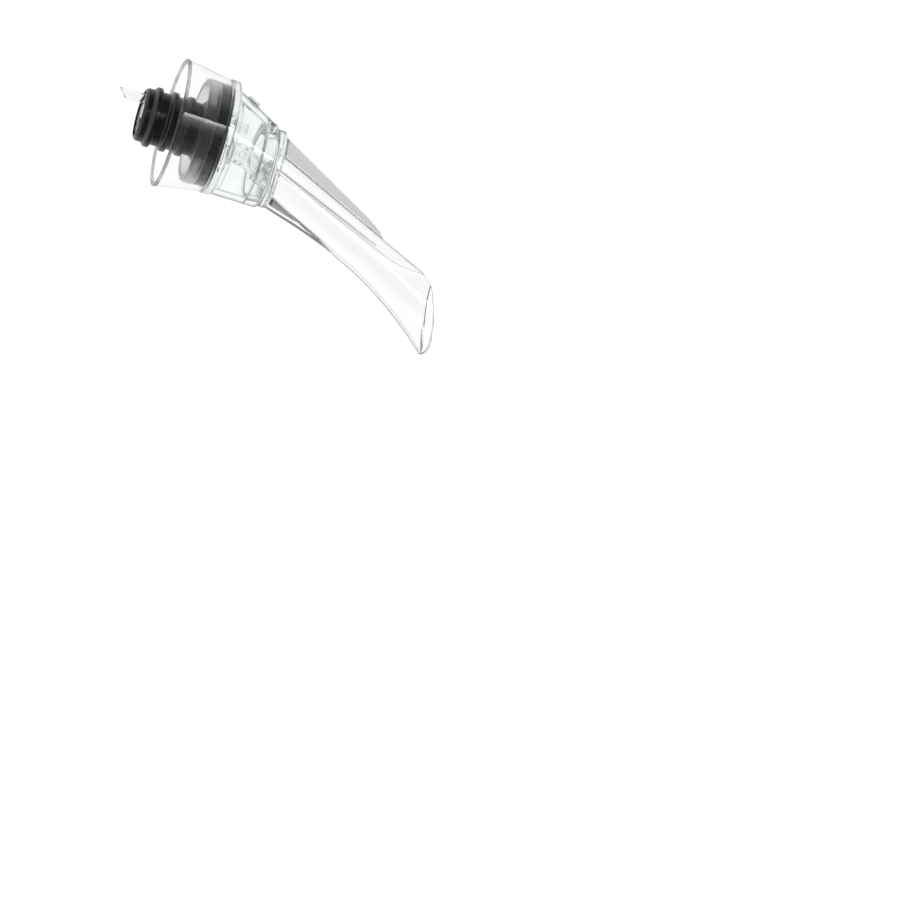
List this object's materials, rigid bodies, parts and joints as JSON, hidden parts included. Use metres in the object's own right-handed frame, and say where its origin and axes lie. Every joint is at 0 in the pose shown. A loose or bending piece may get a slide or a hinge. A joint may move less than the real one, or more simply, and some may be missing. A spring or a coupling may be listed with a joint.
{
  "type": "wine aerator pourer",
  "caption": "Clear beak-shaped pourer with a ribbed rubber stopper, flared drip skirt and leaning air chamber that draws air into wine as it leaves the bottle",
  "frame": {"origin": "on the axis of the plug, in the plane of the stopper's collar where the bottle's lip seats", "axes": "+Z along the plug's axis from the bottle to the spout, +X to the side that pours, Y = 0 is the mirror plane"},
  "size_m": [0.0708, 0.0418, 0.1193],
  "materials": {
    "clear_base": "clear polished acrylic",
    "clear_chamber": "clear polished acrylic",
    "clear_spout": "clear polished acrylic",
    "clear_tube": "clear polished acrylic",
    "pale_silicone": "translucent soft silicone",
    "black_rubber": "satin black moulded rubber"
  },
  "bodies": {
    "pourer": {"drip_skirt": "clear_base", "aeration_chamber": "clear_chamber", "wine_tube": "clear_tube", "air_tube": "clear_tube", "spout": "clear_spout"},
    "stopper": {"stopper": "black_rubber", "lip_ring": "pale_silicone"}
  },
  "joints": [
    {"name": "stopper_pull", "type": "slide", "parent": "pourer", "child": "stopper", "axis": [0, 0, -1], "range_m": [0, 0.04]}
  ]
}
